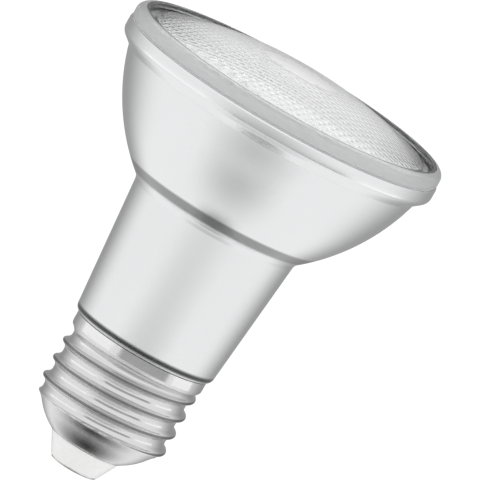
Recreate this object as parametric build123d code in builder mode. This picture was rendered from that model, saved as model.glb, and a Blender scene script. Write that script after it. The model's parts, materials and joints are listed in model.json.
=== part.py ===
from build123d import *
import os

# Spotlight bulb with a pressed glass reflector and a screw cap, lens up and contact down.
# Lengths are in millimetres. The beam axis is +Z, and z = 0 is the end face of the centre contact.

# Screw cap
thread_pitch = 3.629
thread_major_diameter = 26.45
thread_minor_diameter = 24.16
thread_root_land = 0.05
thread_first_crest = 10.6
thread_run_in = 1.6
ridge_sink = 0.017
shell_wall = 0.35
tail_diameter = 14.3
tail_edge_width = 0.5
tail_height = 5.1
tail_arc_radius = 12.5
thread_zone_height = 12.2
collar_proud = 0.08
collar_slope_height = 1.5
collar_height = 2.15
collar_rounding = 0.6

# Contact and insulator at the end of the cap
contact_diameter = 9.2
contact_thickness = 0.35
contact_dimple_diameter = 3.2
contact_dimple_depth = 0.12
contact_stem_diameter = 1.7
contact_stem_length = 2.2
insulator_height = 4.3
insulator_end_diameter = 9.6
insulator_inset = 0.12
insulator_edge_radius = 0.3
insulator_neck_length = 1.5
insulator_flange_width = 1.6
insulator_flange_thickness = 1.1

# Glass reflector: neck, bowl and rim
glass_wall = 2.0
neck_overhang = 0.7
neck_length = 26.8
neck_corner_radius = 1.3
waist_diameter = 32.9
waist_fillet = 2.0
bowl_height = 20.4
bowl_arc_radius = 39.85
rim_diameter = 63.5
rim_overhang = 2.13
rim_underside_height = 1.78
rim_height = 4.45
rim_corner_radius = 1.5
rim_edge_radius = 0.4
mouth_wall = 1.2
spigot_wall = 1.5
cement_gap = 0.4
cement_height = 1.8

# Lens and its seal
seal_thickness = 0.2
seal_inset = 0.35
lens_edge_inset = 0.2
lens_edge_height = 2.75
lens_edge_radius = 1.5
lip_flat_width = 0.7
lip_inner_radius = 0.25
lens_recess = 0.85
lens_groove_width = 1.7
lens_step_height = 0.28
lens_rise = 4.4
lens_thickness = 2.6
lens_mouth_gap = 0.3

# Heat spreader, board and light sources
ledge_rise = 2.2
ledge_width = 1.5
spreader_thickness = 1.2
skirt_wall = 0.8
skirt_length = 5.0
led_board_thickness = 1.0
led_board_margin = 1.4
led_width = 2.8
led_length = 3.5
led_height = 0.7
led_window_diameter = 2.2
led_window_depth = 0.12
led_ring_radius = 7.6
led_ring_count = 8
screw_shank_diameter = 1.6
screw_head_diameter = 3.2
screw_head_height = 1.0
screw_head_rounding = 0.33
screw_end_length = 1.2
screw_slot_width = 0.45
screw_slot_depth = 0.45
solder_diameter = 2.0
solder_height = 0.5
solder_taper = 30

# Driver sleeve, board and parts
sleeve_wall = 1.0
sleeve_floor = 1.2
lead_space = 1.8
rib_thickness = 0.8
rib_reach = 1.2
driver_board_thickness = 1.2
driver_board_offset = 3.0
driver_board_headroom = 2.6
board_side_gap = 0.25
lead_diameter = 0.8
lead_bend_radius = 1.1
lead_spread = 2.2
lead_exit_height = 3.0
lead_hole_gap = 0.15
supply_lead_reach = 1.9
neutral_lead_offset = 5.1

capacitor_diameter = 8.0
capacitor_length = 11.0
capacitor_groove_height = 1.6
capacitor_groove_depth = 0.35
choke_diameter = 8.0
choke_height = 8.5
choke_hub_diameter = 3.6
choke_flange_thickness = 1.3
winding_margin = 0.4
film_capacitor_width = 8.0
film_capacitor_length = 6.0
film_capacitor_height = 7.0
film_capacitor_rounding = 0.7
film_capacitor_edge = 0.6
varistor_diameter = 7.0
varistor_thickness = 3.5
varistor_rounding = 1.1
resistor_diameter = 3.2
resistor_waist_diameter = 2.7
resistor_length = 8.0
resistor_end_length = 2.0
resistor_slope_length = 0.4
resistor_lead_diameter = 0.6
resistor_lead_run = 1.6
resistor_bend_radius = 0.6
bridge_width = 4.7
bridge_length = 3.9
bridge_height = 2.4
chip_width = 4.9
chip_length = 3.9
chip_height = 1.5
leg_width = 0.45
leg_thickness = 0.22
leg_reach = 1.05
leg_rise = 0.75
chip_leg_pitch = 1.27
chip_leg_count = 4
bridge_leg_pitch = 2.54
bridge_leg_count = 2
small_chip_width = 2.0
small_chip_length = 1.25
small_chip_height = 0.6
small_chip_pitch = 3.2
small_chip_count = 6

# Clearance between round pieces that slide together
fit_clearance = 0.05
sleeve_clearance = 0.25

# Radii that follow from those sizes
thread_major_radius = thread_major_diameter / 2
thread_minor_radius = thread_minor_diameter / 2
thread_core_radius = thread_minor_radius + thread_root_land
core_bore_radius = thread_core_radius - shell_wall
collar_radius = thread_major_radius + collar_proud
collar_bore_radius = collar_radius - shell_wall
tail_radius = tail_diameter / 2
tail_bore_radius = tail_radius - tail_edge_width
plug_radius = tail_bore_radius - fit_clearance
contact_stem_radius = contact_stem_diameter / 2
spigot_radius = collar_bore_radius - cement_gap
spigot_bore_radius = spigot_radius - spigot_wall
neck_bottom_radius = collar_radius + neck_overhang
waist_radius = waist_diameter / 2
waist_bore_radius = waist_radius - glass_wall
rim_radius = rim_diameter / 2
bowl_top_radius = rim_radius - rim_overhang
mouth_radius = bowl_top_radius - mouth_wall
lens_radius = rim_radius - lens_edge_inset
lip_outer_radius = lens_radius - lens_edge_radius
lip_inner_edge_radius = lip_outer_radius - lip_flat_width
lens_face_radius = lip_inner_edge_radius - lens_groove_width
lens_back_radius = mouth_radius - lens_mouth_gap
lens_face_arc = (lens_face_radius**2 + lens_rise**2) / (2 * lens_rise)
lens_back_arc = (lens_back_radius**2 + lens_rise**2) / (2 * lens_rise)
spreader_radius = waist_bore_radius + ledge_width
ledge_radius = spreader_radius + sleeve_clearance
sleeve_radius = spigot_bore_radius - sleeve_clearance
sleeve_bore_radius = sleeve_radius - sleeve_wall
skirt_radius = waist_bore_radius - skirt_wall
led_board_radius = spreader_radius - led_board_margin
screw_radius = sleeve_radius + sleeve_clearance + screw_shank_diameter / 2
screw_hole_radius = screw_shank_diameter / 2 + fit_clearance
lead_radius = lead_diameter / 2
lead_hole_radius = lead_radius + lead_hole_gap

# Heights that follow, from the contact up to the crown of the lens
insulator_bottom_z = contact_thickness
shell_bottom_z = insulator_bottom_z + insulator_height
tail_top_z = shell_bottom_z + tail_height
collar_slope_z = tail_top_z + thread_zone_height
collar_z = collar_slope_z + collar_slope_height
cap_top_z = collar_z + collar_height
thread_start_z = thread_first_crest - thread_pitch
thread_end_z = cap_top_z - thread_run_in
insulator_flange_z = shell_bottom_z + insulator_neck_length
insulator_top_z = insulator_flange_z + insulator_flange_thickness
spigot_bottom_z = collar_z + shell_wall / 2 + fit_clearance
waist_z = cap_top_z + neck_length
ledge_z = waist_z + ledge_rise
rim_bottom_z = waist_z + bowl_height
rim_corner_z = rim_bottom_z + rim_underside_height
seam_z = rim_bottom_z + rim_height
lens_seat_z = seam_z + seal_thickness
lip_top_z = lens_seat_z + lens_edge_height
lens_groove_z = lip_top_z - lens_recess
lens_face_z = lens_groove_z + lens_step_height
lens_crown_z = lens_face_z + lens_rise
lens_back_z = lens_face_z - lens_thickness
spreader_top_z = ledge_z + spreader_thickness
led_board_top_z = spreader_top_z + led_board_thickness
sleeve_bottom_z = insulator_top_z + lead_space
sleeve_floor_z = sleeve_bottom_z + sleeve_floor
driver_board_top_z = ledge_z - driver_board_headroom
board_front_y = driver_board_offset
board_back_y = driver_board_offset + driver_board_thickness
driver_board_half_width = (sleeve_bore_radius**2 - board_back_y**2) ** 0.5 - board_side_gap

os.makedirs("parts", exist_ok=True)


def front_plane(x, z):
    """The driver board's front face at x and z, with the plane's normal out of the board."""
    return Plane(origin=(x, board_front_y, z), x_dir=(1, 0, 0), z_dir=(0, -1, 0))


def back_plane(x, z):
    """The driver board's back face at x and z, with the plane's normal out of the board."""
    return Plane(origin=(x, board_back_y, z), x_dir=(-1, 0, 0), z_dir=(0, 1, 0))


def finish(piece, name):
    """Labels a finished piece and writes it to a file of its own."""
    piece.label = name
    export_step(piece, f"parts/{name}.step")


# Centre contact: a thin plate with a dimple and a stem that the live lead is soldered to
with BuildPart() as centre_contact:
    with BuildSketch():
        Circle(contact_diameter / 2)
    extrude(amount=contact_thickness)
    fillet(centre_contact.edges().group_by(Axis.Z)[0], contact_thickness / 2)
    with BuildSketch():
        Circle(contact_dimple_diameter / 2)
    extrude(amount=contact_dimple_depth, mode=Mode.SUBTRACT)
    with BuildSketch(Plane.XY.offset(contact_thickness)):
        Circle(contact_stem_radius)
    extrude(amount=contact_stem_length)
finish(centre_contact.part, "centre_contact")

# Cap insulator: a cone below the shell's edge, a neck through it and a flange inside
with BuildPart() as cap_insulator:
    with BuildSketch(Plane.XZ) as insulator_section:
        with BuildLine():
            Polyline(
                (contact_stem_radius + fit_clearance, insulator_bottom_z),
                (insulator_end_diameter / 2, insulator_bottom_z),
                (tail_radius - insulator_inset, shell_bottom_z),
                (plug_radius, shell_bottom_z),
                (plug_radius, insulator_flange_z),
                (plug_radius + insulator_flange_width, insulator_flange_z),
                (plug_radius + insulator_flange_width, insulator_top_z),
                (contact_stem_radius + fit_clearance, insulator_top_z),
                close=True,
            )
        make_face()
        end_corner = insulator_section.vertices().sort_by_distance(
            (insulator_end_diameter / 2, insulator_bottom_z)
        )[0]
        fillet(end_corner, insulator_edge_radius)
    revolve(axis=Axis.Z)
finish(cap_insulator.part, "cap_insulator")

# Screw shell: the form of its outside, less the same form set in by the sheet's thickness
quarter_pitch = thread_pitch / 4
half_depth = (thread_major_radius - thread_minor_radius) / 2
thread_round = (quarter_pitch**2 + half_depth**2) / (2 * half_depth)
crest_centre = thread_major_radius - thread_round - thread_core_radius
root_centre = thread_minor_radius + thread_round - thread_core_radius
shell_forms = []
for inset, tail_inset in ((0, 0), (shell_wall, tail_edge_width)):
    crest_round = thread_round - inset
    root_round = thread_round + inset
    turn_share = crest_round / (2 * thread_round)
    ridge_crest = crest_centre + crest_round
    ridge_turn = crest_centre + turn_share * (root_centre - crest_centre)
    turn_half_width = turn_share * thread_pitch / 2
    ridge_foot = -inset - ridge_sink
    foot_half_width = thread_pitch / 2 - (root_round**2 - (root_centre - ridge_foot) ** 2) ** 0.5
    ridge_base = ridge_foot - shell_wall / 2
    with BuildPart() as shell_form:
        with BuildLine() as thread_path:
            Helix(
                thread_pitch,
                thread_end_z - thread_start_z,
                thread_core_radius,
                center=(0, 0, thread_start_z),
            )
        ridge_plane = Plane(
            origin=thread_path.line @ 0,
            x_dir=(1, 0, 0),
            z_dir=thread_path.line % 0,
        )
        with BuildSketch(ridge_plane):
            with BuildLine():
                Polyline(
                    (ridge_foot, -foot_half_width),
                    (ridge_base, -foot_half_width),
                    (ridge_base, foot_half_width),
                    (ridge_foot, foot_half_width),
                )
                RadiusArc((ridge_foot, foot_half_width), (ridge_turn, turn_half_width), -root_round)
                ThreePointArc(
                    (ridge_turn, turn_half_width),
                    (ridge_crest, 0),
                    (ridge_turn, -turn_half_width),
                )
                RadiusArc((ridge_turn, -turn_half_width), (ridge_foot, -foot_half_width), -root_round)
            make_face()
        sweep(path=thread_path.line, is_frenet=True)
        with BuildSketch(Plane.XZ):
            with BuildLine():
                Polyline(
                    (0, shell_bottom_z),
                    (tail_radius - tail_inset, shell_bottom_z),
                    (thread_core_radius - inset, tail_top_z - quarter_pitch),
                    (collar_radius - inset, tail_top_z + quarter_pitch),
                    (collar_radius - inset, cap_top_z),
                    (0, cap_top_z),
                    close=True,
                )
            make_face()
        revolve(axis=Axis.Z, mode=Mode.INTERSECT)
        with BuildSketch(Plane.XZ) as shell_section:
            with BuildLine():
                Line((0, shell_bottom_z), (tail_radius - tail_inset, shell_bottom_z))
                RadiusArc(
                    (tail_radius - tail_inset, shell_bottom_z),
                    (thread_core_radius - inset, tail_top_z),
                    -tail_arc_radius,
                )
                Polyline(
                    (thread_core_radius - inset, tail_top_z),
                    (thread_core_radius - inset, collar_slope_z + inset / 2),
                    (collar_radius - inset, collar_z + inset / 2),
                    (collar_radius - inset, cap_top_z),
                    (0, cap_top_z),
                    (0, shell_bottom_z),
                )
            make_face()
            collar_corner = shell_section.vertices().sort_by_distance(
                (collar_radius - inset, collar_z + inset / 2)
            )[0]
            fillet(collar_corner, collar_rounding - inset)
        revolve(axis=Axis.Z)
    shell_forms.append(shell_form.part)
with BuildPart() as screw_shell:
    add(shell_forms[0])
    add(shell_forms[1], mode=Mode.SUBTRACT)
finish(screw_shell.part, "screw_shell")

# Cap cement: the ring that bonds the glass spigot into the collar
with BuildPart() as cap_cement:
    with BuildSketch(Plane.XY.offset(cap_top_z - cement_height)):
        Circle(collar_bore_radius - fit_clearance)
        Circle(spigot_radius + fit_clearance, mode=Mode.SUBTRACT)
    extrude(amount=cement_height)
finish(cap_cement.part, "cap_cement")

# Reflector shell: spigot, tapered neck, bowl and rim pressed as one glass piece
with BuildPart() as reflector_shell:
    with BuildSketch(Plane.XZ) as reflector_section:
        with BuildLine():
            Polyline(
                (spigot_radius, spigot_bottom_z),
                (spigot_radius, cap_top_z),
                (neck_bottom_radius, cap_top_z),
                (waist_radius, waist_z),
            )
            RadiusArc((waist_radius, waist_z), (bowl_top_radius, rim_bottom_z), -bowl_arc_radius)
            Polyline(
                (bowl_top_radius, rim_bottom_z),
                (rim_radius, rim_corner_z),
                (rim_radius, seam_z),
                (mouth_radius, seam_z),
            )
            RadiusArc((mouth_radius, seam_z), (ledge_radius, ledge_z), bowl_arc_radius)
            Polyline(
                (ledge_radius, ledge_z),
                (waist_bore_radius, ledge_z),
                (neck_bottom_radius - glass_wall, cap_top_z + glass_wall),
                (spigot_bore_radius, cap_top_z),
                (spigot_bore_radius, spigot_bottom_z),
                (spigot_radius, spigot_bottom_z),
            )
        make_face()
        for corner, rounding in (
            ((neck_bottom_radius, cap_top_z), neck_corner_radius),
            ((waist_radius, waist_z), waist_fillet),
            ((rim_radius, rim_corner_z), rim_corner_radius),
            ((rim_radius, seam_z), rim_edge_radius),
        ):
            fillet(reflector_section.vertices().sort_by_distance(corner)[0], rounding)
    revolve(axis=Axis.Z)
finish(reflector_shell.part, "reflector_shell")

# Lens seal: the bead between the reflector's rim and the lens, set back to leave a fine groove
with BuildPart() as lens_seal:
    with BuildSketch(Plane.XY.offset(seam_z)):
        Circle(lens_radius - seal_inset)
        Circle(mouth_radius + seal_inset, mode=Mode.SUBTRACT)
    extrude(amount=seal_thickness)
finish(lens_seal.part, "lens_seal")

# Front lens: a raised lip round a groove and a domed face, hollowed from below
with BuildPart() as front_lens:
    with BuildSketch(Plane.XZ) as lens_section:
        with BuildLine():
            Polyline(
                (lens_back_radius, lens_seat_z),
                (lens_radius, lens_seat_z),
                (lens_radius, lip_top_z),
                (lip_inner_edge_radius, lip_top_z),
                (lip_inner_edge_radius, lens_groove_z),
                (lens_face_radius, lens_groove_z),
                (lens_face_radius, lens_face_z),
            )
            RadiusArc((lens_face_radius, lens_face_z), (0, lens_crown_z), -lens_face_arc)
            Line((0, lens_crown_z), (0, lens_crown_z - lens_thickness))
            RadiusArc((0, lens_crown_z - lens_thickness), (lens_back_radius, lens_back_z), lens_back_arc)
            Line((lens_back_radius, lens_back_z), (lens_back_radius, lens_seat_z))
        make_face()
        for corner, rounding in (
            ((lens_radius, lip_top_z), lens_edge_radius),
            ((lip_inner_edge_radius, lip_top_z), lip_inner_radius),
        ):
            fillet(lens_section.vertices().sort_by_distance(corner)[0], rounding)
    revolve(axis=Axis.Z)
finish(front_lens.part, "front_lens")

# Places shared by the spreader, the board, its screws and the leads from the driver
screw_places = [(screw_radius, 0), (-screw_radius, 0)]
led_lead_y = (board_front_y + board_back_y) / 2
led_lead_places = [(lead_spread, led_lead_y), (-lead_spread, led_lead_y)]

# Heat spreader: a pressed cup whose flange rests on the ledge inside the waist
with BuildPart() as heat_spreader:
    with BuildSketch(Plane.XY.offset(ledge_z)):
        Circle(spreader_radius)
        with Locations(*led_lead_places):
            Circle(lead_hole_radius, mode=Mode.SUBTRACT)
    extrude(amount=spreader_thickness)
    with BuildSketch(Plane.XY.offset(ledge_z)):
        Circle(skirt_radius)
        Circle(skirt_radius - skirt_wall, mode=Mode.SUBTRACT)
    extrude(amount=-skirt_length)
    with BuildSketch(Plane.XY.offset(spreader_top_z)):
        with Locations(*screw_places):
            Circle(screw_hole_radius)
    extrude(amount=-(spreader_thickness + skirt_length), mode=Mode.SUBTRACT)
finish(heat_spreader.part, "heat_spreader")

# LED board: a metal-core disc screwed to the spreader
with BuildPart() as led_board:
    with BuildSketch(Plane.XY.offset(spreader_top_z)):
        Circle(led_board_radius)
        with Locations(*screw_places):
            Circle(screw_hole_radius, mode=Mode.SUBTRACT)
        with Locations(*led_lead_places):
            Circle(lead_hole_radius, mode=Mode.SUBTRACT)
    extrude(amount=led_board_thickness)
finish(led_board.part, "led_board")

# LED packages: a ring of light sources round one in the middle
with BuildPart() as led_packages:
    with BuildSketch(Plane.XY.offset(led_board_top_z)):
        with PolarLocations(led_ring_radius, led_ring_count, start_angle=180 / led_ring_count):
            Rectangle(led_width, led_length)
        Rectangle(led_width, led_length)
    extrude(amount=led_height)
    with BuildSketch(Plane.XY.offset(led_board_top_z + led_height)):
        with PolarLocations(led_ring_radius, led_ring_count, start_angle=180 / led_ring_count):
            Circle(led_window_diameter / 2)
        Circle(led_window_diameter / 2)
    extrude(amount=-led_window_depth, mode=Mode.SUBTRACT)
finish(led_packages.part, "led_packages")

# Board screws: pan heads with a slot, through the board and the spreader
with BuildPart() as board_screws:
    with BuildSketch(Plane.XY.offset(led_board_top_z)):
        with Locations(*screw_places):
            Circle(screw_head_diameter / 2)
    extrude(amount=screw_head_height)
    head_edges = board_screws.edges().filter_by(GeomType.CIRCLE).group_by(Axis.Z)[-1]
    fillet(head_edges, screw_head_rounding)
    with BuildSketch(Plane.XY.offset(led_board_top_z)):
        with Locations(*screw_places):
            Circle(screw_shank_diameter / 2)
    extrude(amount=-(led_board_thickness + spreader_thickness + screw_end_length))
    with BuildSketch(Plane.XY.offset(led_board_top_z + screw_head_height)):
        with Locations(*screw_places):
            Rectangle(screw_slot_width, screw_head_diameter)
    extrude(amount=-screw_slot_depth, mode=Mode.SUBTRACT)
finish(board_screws.part, "board_screws")

# LED leads: stiff wires from the driver board's top edge up through the LED board
lead_end_z = led_board_top_z + solder_height
for lead_name, place in zip(("led_lead_positive", "led_lead_negative"), led_lead_places):
    with BuildPart() as led_lead:
        with BuildSketch(Plane.XY.offset(driver_board_top_z)):
            with Locations(place):
                Circle(lead_radius)
        extrude(amount=lead_end_z - driver_board_top_z)
    finish(led_lead.part, lead_name)

# Lead solder: a small cone of solder round each lead on the LED board
with BuildPart() as lead_solder:
    with BuildSketch(Plane.XY.offset(led_board_top_z)):
        with Locations(*led_lead_places):
            Circle(solder_diameter / 2)
    extrude(amount=solder_height, taper=solder_taper)
    with BuildSketch(Plane.XY.offset(led_board_top_z)):
        with Locations(*led_lead_places):
            Circle(lead_radius + fit_clearance)
    extrude(amount=solder_height, mode=Mode.SUBTRACT)
finish(lead_solder.part, "lead_solder")

# Supply leads leave the driver board's back, pass the sleeve's floor and turn to the cap
supply_lead_y = board_back_y + supply_lead_reach
lead_exit_z = sleeve_floor_z + lead_exit_height
lead_turn_z = insulator_top_z + lead_space / 2
supply_lead_places = [(0, supply_lead_y), (-neutral_lead_offset, supply_lead_y)]

# Driver sleeve: an insulating tube with a floor, and ribs that guide the board
with BuildPart() as driver_sleeve:
    rib_x = driver_board_half_width + board_side_gap - rib_reach / 2
    rib_y = driver_board_thickness / 2 + fit_clearance * 2 + rib_thickness / 2
    with BuildSketch(Plane.XY.offset(sleeve_bottom_z)):
        Circle(sleeve_bore_radius + sleeve_wall / 2)
        with Locations((0, led_lead_y)):
            with GridLocations(2 * rib_x, 2 * rib_y, 2, 2):
                Rectangle(rib_reach + sleeve_wall, rib_thickness, mode=Mode.INTERSECT)
    extrude(amount=ledge_z - sleeve_bottom_z)
    with BuildSketch(Plane.XY.offset(sleeve_bottom_z)):
        Circle(sleeve_radius)
        Circle(sleeve_bore_radius, mode=Mode.SUBTRACT)
    extrude(amount=ledge_z - sleeve_bottom_z)
    with BuildSketch(Plane.XY.offset(sleeve_bottom_z)):
        Circle(sleeve_radius)
    extrude(amount=sleeve_floor)
    with BuildSketch(Plane.XY.offset(sleeve_bottom_z)):
        with Locations(*supply_lead_places):
            Circle(lead_hole_radius)
    extrude(amount=sleeve_floor, mode=Mode.SUBTRACT)
finish(driver_sleeve.part, "driver_sleeve")

# Driver board: it stands on the sleeve's floor between the ribs
with BuildPart() as driver_board:
    with BuildSketch(Plane.XY.offset(sleeve_floor_z)):
        with Locations((0, led_lead_y)):
            Rectangle(2 * driver_board_half_width, driver_board_thickness)
    extrude(amount=driver_board_top_z - sleeve_floor_z)
finish(driver_board.part, "driver_board")

# Live lead: from the board to the stem of the centre contact
with BuildPart() as live_lead:
    with BuildLine() as live_route:
        FilletPolyline(
            (0, board_back_y, lead_exit_z),
            (0, supply_lead_y, lead_exit_z),
            (0, supply_lead_y, lead_turn_z),
            (0, 0, lead_turn_z),
            (0, 0, contact_thickness + contact_stem_length),
            radius=lead_bend_radius,
        )
    with BuildSketch(Plane(origin=live_route.line @ 0, z_dir=live_route.line % 0)):
        Circle(lead_radius)
    sweep(path=live_route.line)
finish(live_lead.part, "live_lead")

# Neutral lead: from the board out to the wall of the screw shell
with BuildPart() as neutral_lead:
    outward = Vector(-neutral_lead_offset, supply_lead_y, 0).normalized()
    tail_share = (lead_turn_z - shell_bottom_z) / tail_height
    tail_bore_there = tail_bore_radius + tail_share * (core_bore_radius - tail_bore_radius)
    neutral_end = outward * tail_bore_there
    with BuildLine() as neutral_route:
        FilletPolyline(
            (-neutral_lead_offset, board_back_y, lead_exit_z),
            (-neutral_lead_offset, supply_lead_y, lead_exit_z),
            (-neutral_lead_offset, supply_lead_y, lead_turn_z),
            (neutral_end.X, neutral_end.Y, lead_turn_z),
            radius=lead_bend_radius,
        )
    with BuildSketch(Plane(origin=neutral_route.line @ 0, z_dir=neutral_route.line % 0)):
        Circle(lead_radius)
    sweep(path=neutral_route.line)
finish(neutral_lead.part, "neutral_lead")

# Heights of the driver's parts up the board, the tall ones in front and the flat ones behind
resistor_z = sleeve_floor_z + resistor_diameter
varistor_z = resistor_z + resistor_diameter / 2 + varistor_diameter / 2 + board_side_gap
film_capacitor_z = varistor_z + varistor_diameter / 2 + film_capacitor_length / 2 + board_side_gap
choke_z = film_capacitor_z + film_capacitor_length / 2 + choke_diameter / 2 + board_side_gap
capacitor_z = choke_z + choke_diameter / 2 + capacitor_diameter / 2 + board_side_gap
bridge_z = varistor_z + bridge_width / 2
chip_z = choke_z

# Smoothing capacitor: a can with a rolled groove above its seal
with BuildPart() as smoothing_capacitor:
    with BuildSketch(front_plane(0, capacitor_z)):
        Circle(capacitor_diameter / 2)
    extrude(amount=capacitor_length)
    fillet(smoothing_capacitor.edges().sort_by(Axis.Y)[0], capacitor_groove_depth)
    with BuildSketch(front_plane(0, capacitor_z).offset(capacitor_groove_height)):
        Circle(capacitor_diameter / 2 + capacitor_groove_depth)
        Circle(capacitor_diameter / 2 - capacitor_groove_depth, mode=Mode.SUBTRACT)
    extrude(amount=capacitor_groove_depth * 2, mode=Mode.SUBTRACT)
finish(smoothing_capacitor.part, "smoothing_capacitor")

# Choke core: a ferrite drum, with its winding round the hub
winding_height = choke_height - 2 * choke_flange_thickness
with BuildPart() as choke_core:
    with BuildSketch(front_plane(0, choke_z)):
        Circle(choke_diameter / 2)
    extrude(amount=choke_flange_thickness)
    with BuildSketch(front_plane(0, choke_z).offset(choke_flange_thickness)):
        Circle(choke_hub_diameter / 2)
    extrude(amount=winding_height)
    with BuildSketch(front_plane(0, choke_z).offset(choke_height - choke_flange_thickness)):
        Circle(choke_diameter / 2)
    extrude(amount=choke_flange_thickness)
finish(choke_core.part, "choke_core")

with BuildPart() as choke_winding:
    with BuildSketch(front_plane(0, choke_z).offset(choke_flange_thickness)):
        Circle(choke_diameter / 2 - winding_margin)
        Circle(choke_hub_diameter / 2 + fit_clearance, mode=Mode.SUBTRACT)
    extrude(amount=winding_height)
finish(choke_winding.part, "choke_winding")

# Film capacitor: a dipped block
with BuildPart() as film_capacitor:
    with BuildSketch(front_plane(0, film_capacitor_z)):
        RectangleRounded(film_capacitor_width, film_capacitor_length, film_capacitor_rounding)
    extrude(amount=film_capacitor_height)
    fillet(film_capacitor.faces().sort_by(Axis.Y)[0].edges(), film_capacitor_edge)
finish(film_capacitor.part, "film_capacitor")

# Surge varistor: a coated disc
with BuildPart() as surge_varistor:
    with BuildSketch(front_plane(0, varistor_z)):
        Circle(varistor_diameter / 2)
    extrude(amount=varistor_thickness)
    fillet(surge_varistor.edges().sort_by(Axis.Y)[0], varistor_rounding)
finish(surge_varistor.part, "surge_varistor")

# Fusible resistor: a waisted body on two leads bent down to the board
with BuildPart() as fusible_resistor:
    resistor_y = board_front_y - resistor_diameter / 2 - fit_clearance
    lead_x = resistor_length / 2 + resistor_lead_run
    slope_start_x = resistor_length / 2 - resistor_end_length
    slope_end_x = slope_start_x - resistor_slope_length
    with BuildSketch(Plane.XY.move(Location((0, resistor_y, resistor_z)))):
        with BuildLine():
            Polyline(
                (-resistor_length / 2, 0),
                (-resistor_length / 2, resistor_diameter / 2),
                (-slope_start_x, resistor_diameter / 2),
                (-slope_end_x, resistor_waist_diameter / 2),
                (slope_end_x, resistor_waist_diameter / 2),
                (slope_start_x, resistor_diameter / 2),
                (resistor_length / 2, resistor_diameter / 2),
                (resistor_length / 2, 0),
                close=True,
            )
        make_face()
    revolve(axis=Axis((0, resistor_y, resistor_z), (1, 0, 0)))
    for side in (-1, 1):
        with BuildLine() as resistor_route:
            FilletPolyline(
                (side * resistor_length / 2, resistor_y, resistor_z),
                (side * lead_x, resistor_y, resistor_z),
                (side * lead_x, board_front_y, resistor_z),
                radius=resistor_bend_radius,
            )
        with BuildSketch(Plane(origin=resistor_route.line @ 0, z_dir=resistor_route.line % 0)):
            Circle(resistor_lead_diameter / 2)
        sweep(path=resistor_route.line)
finish(fusible_resistor.part, "fusible_resistor")

# Bridge rectifier and driver chip: moulded bodies on bent legs, on the back of the board
leg_standoff = leg_thickness / 2
bridge_sizes = (bridge_z, bridge_width, bridge_length, bridge_height, bridge_leg_pitch, bridge_leg_count)
chip_sizes = (chip_z, chip_width, chip_length, chip_height, chip_leg_pitch, chip_leg_count)
packages = [("bridge_rectifier", bridge_sizes), ("driver_chip", chip_sizes)]
for package_name, (package_z, width, length, height, leg_pitch, leg_count) in packages:
    leg_root = length / 2 - leg_thickness
    leg_knee = length / 2 + leg_reach / 2
    leg_toe = length / 2 + leg_reach
    with BuildPart() as package:
        with BuildSketch(back_plane(0, package_z).offset(leg_standoff)):
            Rectangle(length, width)
        extrude(amount=height)
        for leg in range(leg_count):
            leg_z = package_z + (leg - (leg_count - 1) / 2) * leg_pitch
            leg_plane = Plane.XY.move(Location((0, board_back_y, leg_z)))
            with BuildSketch(leg_plane):
                with BuildLine():
                    Polyline(
                        (leg_root, leg_rise),
                        (leg_knee, leg_rise),
                        (leg_knee, leg_thickness),
                        (leg_toe, leg_thickness),
                        (leg_toe, 0),
                        (leg_knee - leg_thickness, 0),
                        (leg_knee - leg_thickness, leg_rise - leg_thickness),
                        (leg_root, leg_rise - leg_thickness),
                        close=True,
                    )
                make_face()
                mirror(about=Plane.YZ)
            extrude(amount=leg_width / 2, both=True)
    finish(package.part, package_name)

# Chip components: a column of small parts beside the driver chip
with BuildPart() as chip_components:
    small_chip_x = (chip_length / 2 + leg_reach + driver_board_half_width) / 2
    with BuildSketch(back_plane(small_chip_x, (bridge_z + chip_z) / 2)):
        with GridLocations(0, small_chip_pitch, 1, small_chip_count):
            Rectangle(small_chip_width, small_chip_length)
    extrude(amount=small_chip_height)
finish(chip_components.part, "chip_components")
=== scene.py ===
"""Dresses the spotlight bulb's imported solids: glass, silvering, nickel, light source, studio and camera."""

import json
import logging
import math
from dataclasses import dataclass, field
from enum import Enum

import bmesh
import bpy
import numpy as np
from mathutils import Matrix, Vector
from mathutils.geometry import delaunay_2d_cdt

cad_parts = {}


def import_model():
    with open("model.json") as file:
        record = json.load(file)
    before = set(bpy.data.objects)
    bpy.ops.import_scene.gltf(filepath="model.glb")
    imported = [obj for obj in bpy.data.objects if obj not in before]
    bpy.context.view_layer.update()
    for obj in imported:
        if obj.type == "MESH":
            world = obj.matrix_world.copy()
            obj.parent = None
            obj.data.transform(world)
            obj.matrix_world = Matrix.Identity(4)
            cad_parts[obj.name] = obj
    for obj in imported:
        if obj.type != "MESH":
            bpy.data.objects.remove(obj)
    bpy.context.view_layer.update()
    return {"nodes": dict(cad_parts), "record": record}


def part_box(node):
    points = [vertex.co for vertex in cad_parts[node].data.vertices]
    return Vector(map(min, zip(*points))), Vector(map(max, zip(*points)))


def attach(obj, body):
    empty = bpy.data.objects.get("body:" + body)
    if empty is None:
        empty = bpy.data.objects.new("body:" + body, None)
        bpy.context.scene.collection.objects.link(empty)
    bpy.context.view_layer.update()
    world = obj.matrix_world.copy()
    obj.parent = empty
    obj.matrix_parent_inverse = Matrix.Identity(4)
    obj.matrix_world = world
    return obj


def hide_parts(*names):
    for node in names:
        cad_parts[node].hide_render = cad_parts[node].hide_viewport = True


LOG = logging.getLogger("spotlight_bulb")
MM = 0.001
ARC_STEP = 0.4
CORNER_STEP = 9.0
CORNER_TRIES = 40
WELD = 1e-7
SLIVER = 1e-8
Colour = tuple[float, float, float]
Value = float | tuple[float, ...] | bpy.types.NodeSocket
MeshData = tuple[list[list[float]], list[tuple[int, ...]]]


# Sections and meshes


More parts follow.
